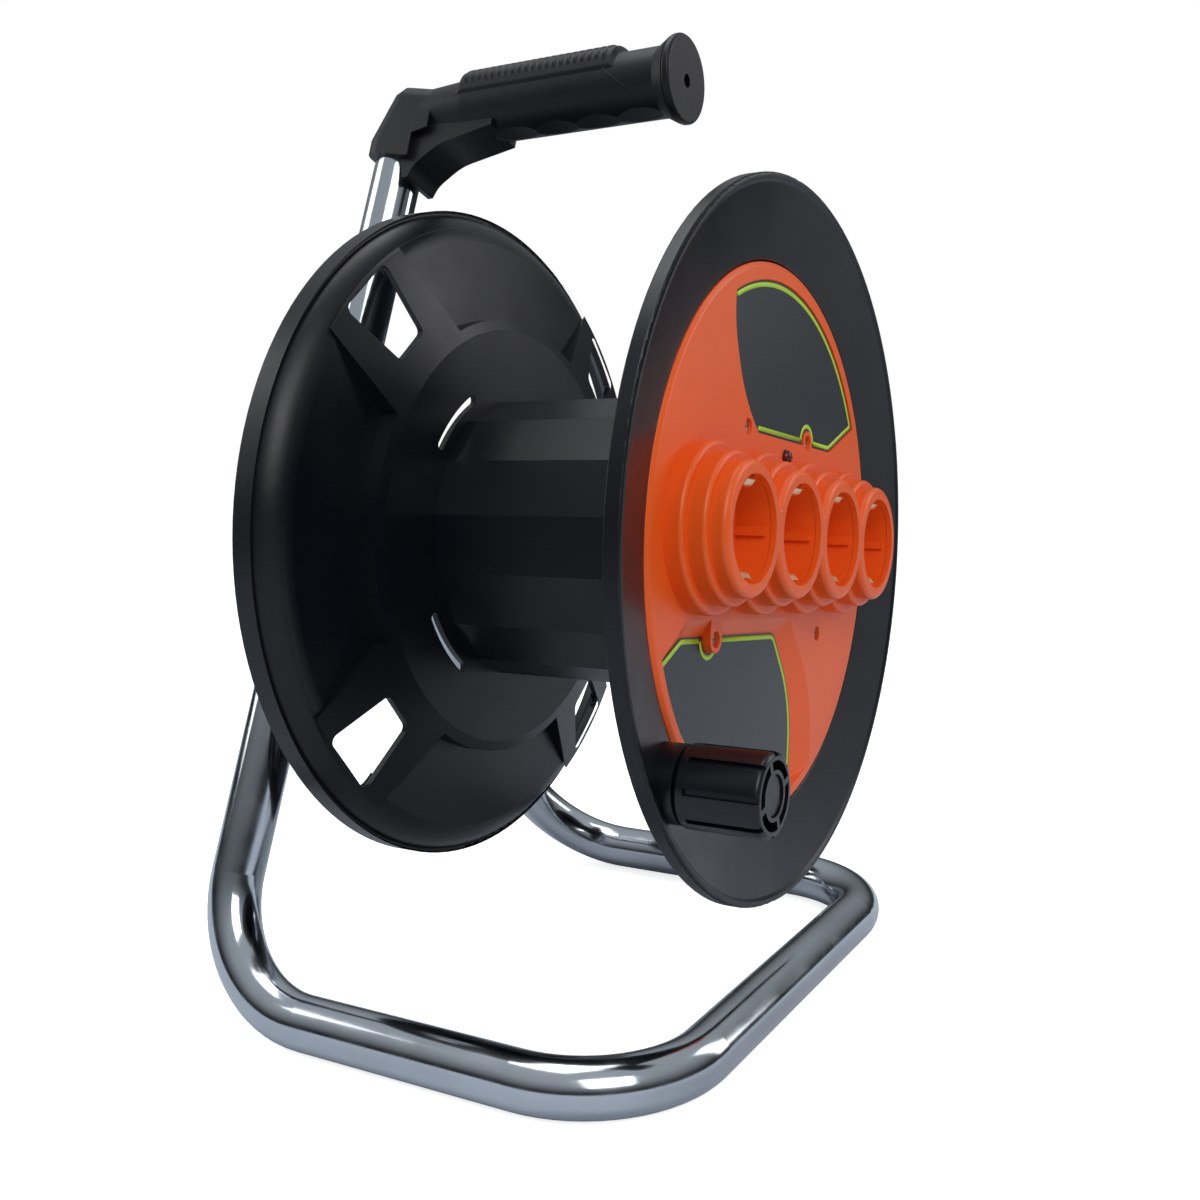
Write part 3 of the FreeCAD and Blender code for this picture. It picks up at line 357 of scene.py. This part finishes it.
def post_and_leg():
    """Directions of the left post and of the right leg, and the point where their middle lines meet."""
    top = Vector((0.0, HANDLE_Y, HANDLE_HEIGHT))
    left = Vector((-BASE_HALF_WIDTH, REAR_CORNER_Y, TUBE_RADIUS))
    right = Vector((BASE_HALF_WIDTH, REAR_CORNER_Y, TUBE_RADIUS))
    lean = (AXIS_HEIGHT - TUBE_RADIUS) / (HANDLE_HEIGHT - TUBE_RADIUS)
    meeting = left + (top - left) * (2 * lean / (1 + lean))
    return (top - left).normalized(), (meeting - right).normalized(), meeting


def weld_path():
    """Points round the end of the right leg, where its tube runs into the post's."""
    post, leg, meeting = post_and_leg()
    side = leg.cross(post).normalized()
    up = side.cross(leg)
    leg_across = leg - post * leg.dot(post)
    square = leg_across.length_squared
    points = []
    for i in range(WELD_STEPS):
        turn = 2 * math.pi * i / WELD_STEPS
        start = meeting + (side * math.cos(turn) + up * math.sin(turn)) * TUBE_RADIUS
        rest = start - meeting
        rest_across = rest - post * rest.dot(post)
        # How far along the leg a line on its tube meets the post's tube is the root of a square equation
        linear = 2 * rest_across.dot(leg_across)
        constant = rest_across.length_squared - TUBE_RADIUS ** 2
        root = math.sqrt(max(linear * linear - 4 * square * constant, 0.0))
        points.append(start + leg * ((-linear - root) / (2 * square)))
    return points


def weld_bead():
    """Scalloped bead between the leg and the post."""
    scallops = [abs(math.sin(math.pi * i / WELD_STEPS_PER_SCALLOP)) for i in range(WELD_STEPS)]
    radii = [WELD_RADIUS + WELD_SCALLOP * scallop for scallop in scallops]
    shape = swept(weld_path(), radii, closed=True, sides=WELD_SIDES)
    add_piece("weld_bead", shape, weld_metal(), "frame")


def grip_axes(side):
    """Start of the grip at the tube's corner, and its directions across, to the side given, and up."""
    post, _, _ = post_and_leg()
    up = Vector((post.x, 0.0, post.z)).normalized()
    across = up.cross(Vector((0.0, -1.0, 0.0))) * side
    return Vector((0.0, HANDLE_Y, HANDLE_HEIGHT + GRIP_RISE)), across, up


def on_grip(axes, ahead, turn, radius):
    """Point at a distance along the grip, an angle in degrees above its side and a radius."""
    start, across, up = axes
    angle = math.radians(turn)
    outward = across * math.cos(angle) + up * math.sin(angle)
    return start + Vector((0.0, -ahead, 0.0)) + outward * radius


def grip_line(name, side, material):
    """Fine raised line that sweeps over the grip's side in front of its pad."""
    axes = grip_axes(side)
    points = []
    radii = []
    for i in range(LINE_STEPS + 1):
        share = i / LINE_STEPS
        turn = LINE_TURN - 2 * LINE_TURN * share
        ahead = LINE_START + LINE_SWEEP * share ** LINE_CURVE
        points.append(on_grip(axes, ahead, turn, GRIP_RADIUS - SINK))
        to_tip = min(i, LINE_STEPS - i)
        radii.append(LINE_RADIUS * min(1.0, LINE_TIP + LINE_TAPER * to_tip / LINE_STEPS))
    add_piece(name, swept(points, radii, closed=False, sides=LINE_SIDES), material, "frame")


def smooth(value, low, high):
    """0 below low, 1 above high, with a soft rise between them."""
    share = min(max((value - low) / (high - low), 0.0), 1.0)
    return share * share * (3.0 - 2.0 * share)


def pad_radius(ahead, turn):
    """Radius of the thumb pad's skin at a place along the grip and an angle in degrees above its side."""
    side = min(turn, 180.0 - turn)
    rim = PAD_RIM_HEIGHT * smooth(side, PAD_EDGE, PAD_EDGE + PAD_RIM_TURN)
    crown = PAD_CROWN_HEIGHT * smooth(side, PAD_EDGE + PAD_CROWN_GAP, PAD_CROWN_TURN)
    rise = smooth(ahead, PAD_START, PAD_START + PAD_SLOPE)
    fall = smooth(ahead, PAD_END - PAD_SLOPE, PAD_END)
    rib = 0.0
    if RIBS_START < ahead < RIBS_START + RIB_PITCH * RIB_COUNT:
        wave = 0.5 - 0.5 * math.cos(2 * math.pi * (ahead - RIBS_START) / RIB_PITCH)
        rib = RIB_HEIGHT * smooth(wave, *RIB_FLANK) * smooth(side, *RIB_FADE)
    return GRIP_RADIUS - SINK + (rim + crown + SINK + rib) * (rise * (1.0 - fall))


def thumb_pad(material):
    """Ribbed skin over the grip's pad, which wraps down to both sides behind a plain rim."""
    axes = grip_axes(1)
    steps = round((PAD_END - PAD_START) / RIB_PITCH * PAD_STEPS_PER_RIB)
    turns = [PAD_EDGE + (180.0 - 2 * PAD_EDGE) * k / PAD_ROUND_STEPS for k in range(PAD_ROUND_STEPS + 1)]
    shape = bmesh.new()
    rows = []
    for i in range(steps + 1):
        ahead = PAD_START + (PAD_END - PAD_START) * i / steps
        skin = [(turn, pad_radius(ahead, turn)) for turn in turns]
        back = [(turn, GRIP_RADIUS - PAD_BACK_DEPTH) for turn in turns[::-PAD_BACK_SKIP]]
        ring = [on_grip(axes, ahead, turn, radius) for turn, radius in skin + back]
        rows.append([shape.verts.new(place) for place in ring])
    for first, second in zip(rows, rows[1:]):
        join_rows(shape, first, second)
    close_ends(shape, rows)
    add_piece("thumb_pad", shape, material, "frame")


def loops_of(edges):
    """Loops of vertex numbers, each in order, that edges make."""
    beside = {}
    for edge in edges:
        first, second = edge.verts
        beside.setdefault(first.index, set()).add(second.index)
        beside.setdefault(second.index, set()).add(first.index)
    loops = []
    unused = set(beside)
    while unused:
        here = unused.pop()
        loop = []
        while here is not None:
            loop.append(here)
            unused.discard(here)
            here = next((v for v in beside[here] if v in unused), None)
        loops.append(loop)
    return loops


def front_outline(node):
    """Corners round a node's front face, in order, as (x, z) pairs, and that face's place along y."""
    shape = bmesh.new()
    shape.from_mesh(node.data)
    bmesh.ops.remove_doubles(shape, verts=shape.verts, dist=SAME_POINT)
    front = [face for face in shape.faces if face.normal.y < FRONT_FACING]
    shown = set(front)
    edges = [edge for face in front for edge in face.edges
             if sum(1 for other in edge.link_faces if other in shown) == 1]
    shape.verts.ensure_lookup_table()
    longest = max(loops_of(edges), key=len)
    outline = [(shape.verts[v].co.x, shape.verts[v].co.z) for v in longest]
    depth = min(vertex.co.y for face in front for vertex in face.verts)
    shape.free()
    return outline, depth


def area_of(outline):
    """Area of an outline, which is negative where it runs clockwise."""
    pairs = zip(outline, outline[1:] + outline[:1])
    return sum(a[0] * b[1] - b[0] * a[1] for a, b in pairs) / 2


def inset(outline, distance):
    """Outline that runs anticlockwise, moved inwards."""
    moved = []
    for i, corner in enumerate(outline):
        here = Vector(corner)
        first = (here - Vector(outline[i - 1])).normalized()
        second = (Vector(outline[(i + 1) % len(outline)]) - here).normalized()
        inward = Vector((-first.y - second.y, first.x + second.x)).normalized()
        stretch = max(inward.dot(Vector((-first.y, first.x))), MITRE_LIMIT)
        moved.append(here + inward * (distance / stretch))
    return moved


def down_left_side(outline, i):
    """Whether the run of a label's outline from a corner to the next goes down its slanted left side."""
    run = Vector(outline[(i + 1) % len(outline)]) - Vector(outline[i])
    return run.length > 0 and run.y / run.length < LEFT_SLANT and outline[i][0] < 0.0


def label_border(name, node, material, left_open):
    """Printed line that follows a label's edge, with the slanted left side left out if asked."""
    outline, depth = front_outline(node)
    if area_of(outline) < 0:
        outline.reverse()
    outer = inset(outline, BORDER_INSET)
    inner = inset(outline, BORDER_INSET + BORDER_WIDTH)
    shape = bmesh.new()
    count = len(outline)
    inked = [i for i in range(count) if not (left_open and down_left_side(outline, i))]
    for i in inked:
        j = (i + 1) % count
        corners = (outer[i], outer[j], inner[j], inner[i])
        top = [shape.verts.new((p.x, depth - PRINT_HEIGHT, p.y)) for p in corners]
        low = [shape.verts.new((p.x, depth + PRINT_HEIGHT, p.y)) for p in corners]
        shape.faces.new(top)
        shape.faces.new(low[::-1])
        # Walls 0 and 2 run along the line, and walls 1 and 3 close it where it stops
        walls = [0, 2]
        if j not in inked:
            walls.append(1)
        if (i - 1) % count not in inked:
            walls.append(3)
        for k in walls:
            shape.faces.new((top[k], low[k], low[(k + 1) % 4], top[(k + 1) % 4]))
    bmesh.ops.remove_doubles(shape, verts=shape.verts, dist=SAME_CORNER)
    add_piece(name, shape, material, "drum")


def floor():
    """White floor that takes a faint shadow, and lights the object less than it shows."""
    bpy.ops.mesh.primitive_plane_add(size=FLOOR_SIZE, location=(0, 0, -FLOOR_DROP))
    plane = bpy.context.object
    plane.name = "floor"
    material, tree, shader = new_material("floor")
    set_inputs(shader, {
        "Base Color": (0.9, 0.9, 0.9, 1.0),
        "Roughness": 0.6,
        "Emission Color": (1.0, 1.0, 1.0, 1.0),
        "Emission Strength": 0.78,
    })
    dim = add_node(tree, "ShaderNodeBsdfDiffuse", {"Color": (*FLOOR_BOUNCE, 1.0)})
    path = tree.nodes.new("ShaderNodeLightPath")
    choice = tree.nodes.new("ShaderNodeMixShader")
    tree.links.new(path.outputs["Is Camera Ray"], choice.inputs["Fac"])
    tree.links.new(dim.outputs["BSDF"], choice.inputs[1])
    tree.links.new(shader.outputs["BSDF"], choice.inputs[2])
    tree.links.new(choice.outputs["Shader"], tree.nodes["Material Output"].inputs["Surface"])
    plane.data.materials.append(material)


def wall_light(tree):
    """Colour of the studio's walls, which changes with height."""
    place = tree.nodes.new("ShaderNodeTexCoord")
    parts = tree.nodes.new("ShaderNodeSeparateXYZ")
    height = add_node(tree, "ShaderNodeMapRange", {"From Min": -1.0})
    ramp = tree.nodes.new("ShaderNodeValToRGB")
    stops = ramp.color_ramp.elements
    stops.remove(stops[1])
    for i, (position, brightness) in enumerate(WALLS):
        stop = stops.new(position) if i else stops[0]
        stop.position = position
        stop.color = (*[brightness * tint for tint in WALL_TINT], 1.0)
    tree.links.new(place.outputs["Generated"], parts.inputs["Vector"])
    tree.links.new(parts.outputs["Z"], height.inputs["Value"])
    tree.links.new(height.outputs["Result"], ramp.inputs["Fac"])
    return ramp.outputs["Color"]


def surroundings():
    """White studio: light from above, dim walls at eye level, and a plain white backdrop."""
    world = bpy.data.worlds.new("studio")
    world.use_nodes = True
    tree = world.node_tree
    backdrop = tree.nodes.new("ShaderNodeMix")
    backdrop.data_type = "RGBA"
    set_inputs(backdrop, {"B": (1.0, 1.0, 1.0, 1.0)})
    path = tree.nodes.new("ShaderNodeLightPath")
    background = tree.nodes["Background"]
    set_inputs(background, {"Strength": 1.0})
    tree.links.new(wall_light(tree), backdrop.inputs["A"])
    tree.links.new(path.outputs["Is Camera Ray"], backdrop.inputs["Factor"])
    tree.links.new(backdrop.outputs["Result"], background.inputs["Color"])
    bpy.context.scene.world = world


def soft_box(name, place, width, height, power):
    """Area light that looks at the middle of the object."""
    light = bpy.data.lights.new(name, "AREA")
    light.shape = "RECTANGLE"
    light.size = width
    light.size_y = height
    light.energy = power
    lamp = bpy.data.objects.new(name, light)
    lamp.location = place
    lamp.rotation_mode = "QUATERNION"
    lamp.rotation_quaternion = (LIGHT_TARGET - Vector(place)).to_track_quat("-Z", "Y")
    bpy.context.scene.collection.objects.link(lamp)


def soft_boxes():
    """Strong light from the front left, and weaker ones from the front right, above and behind."""
    soft_box("key", (-1.3, -1.3, 1.5), width=1.2, height=1.2, power=19.0)
    soft_box("side", (1.3, -1.2, 0.9), width=0.5, height=1.2, power=6.0)
    soft_box("top", (0.1, 0.3, 2.0), width=1.4, height=1.0, power=13.0)
    soft_box("back", (-0.6, 1.6, 1.0), width=0.8, height=1.2, power=8.0)


def camera():
    """Camera at the photograph's place and angle."""
    data = bpy.data.cameras.new("camera")
    data.sensor_width = CAMERA_FILM
    data.sensor_height = CAMERA_FILM
    data.lens = CAMERA_LENS
    data.clip_start = CAMERA_NEAR
    yaw, pitch, roll = (math.radians(a) for a in (CAMERA_YAW, CAMERA_PITCH, CAMERA_ROLL))
    ahead = Vector((math.sin(yaw) * math.cos(pitch), math.cos(yaw) * math.cos(pitch), math.sin(pitch)))
    right = Vector((math.cos(yaw), -math.sin(yaw), 0))
    up = right.cross(ahead)
    tilted_right = right * math.cos(roll) + up * math.sin(roll)
    tilted_up = up * math.cos(roll) - right * math.sin(roll)
    turn = Matrix((tilted_right, tilted_up, -ahead)).transposed()
    eye = bpy.data.objects.new("camera", data)
    eye.matrix_world = Matrix.Translation(CAMERA_PLACE) @ turn.to_4x4()
    bpy.context.scene.collection.objects.link(eye)
    bpy.context.scene.camera = eye


def view_settings():
    """Colours come out as they are lit, with no film look."""
    scene = bpy.context.scene
    scene.view_settings.view_transform = "Standard"
    scene.view_settings.exposure = 0.0


def main():
    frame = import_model()
    nodes = frame["nodes"]
    slots = {piece["node"]: piece["material_slot"] for piece in frame["record"]["subparts"]}
    finishes = materials()
    dress(nodes, slots, finishes)
    weld_bead()
    grip_line("grip_line_left", -1, finishes["grip"])
    grip_line("grip_line_right", 1, finishes["grip"])
    thumb_pad(finishes["grip"])
    lime = lime_print()
    label_border("upper_border", nodes["upper_label"], lime, left_open=True)
    label_border("lower_border", nodes["lower_label"], lime, left_open=False)
    floor()
    surroundings()
    soft_boxes()
    camera()
    view_settings()


main()
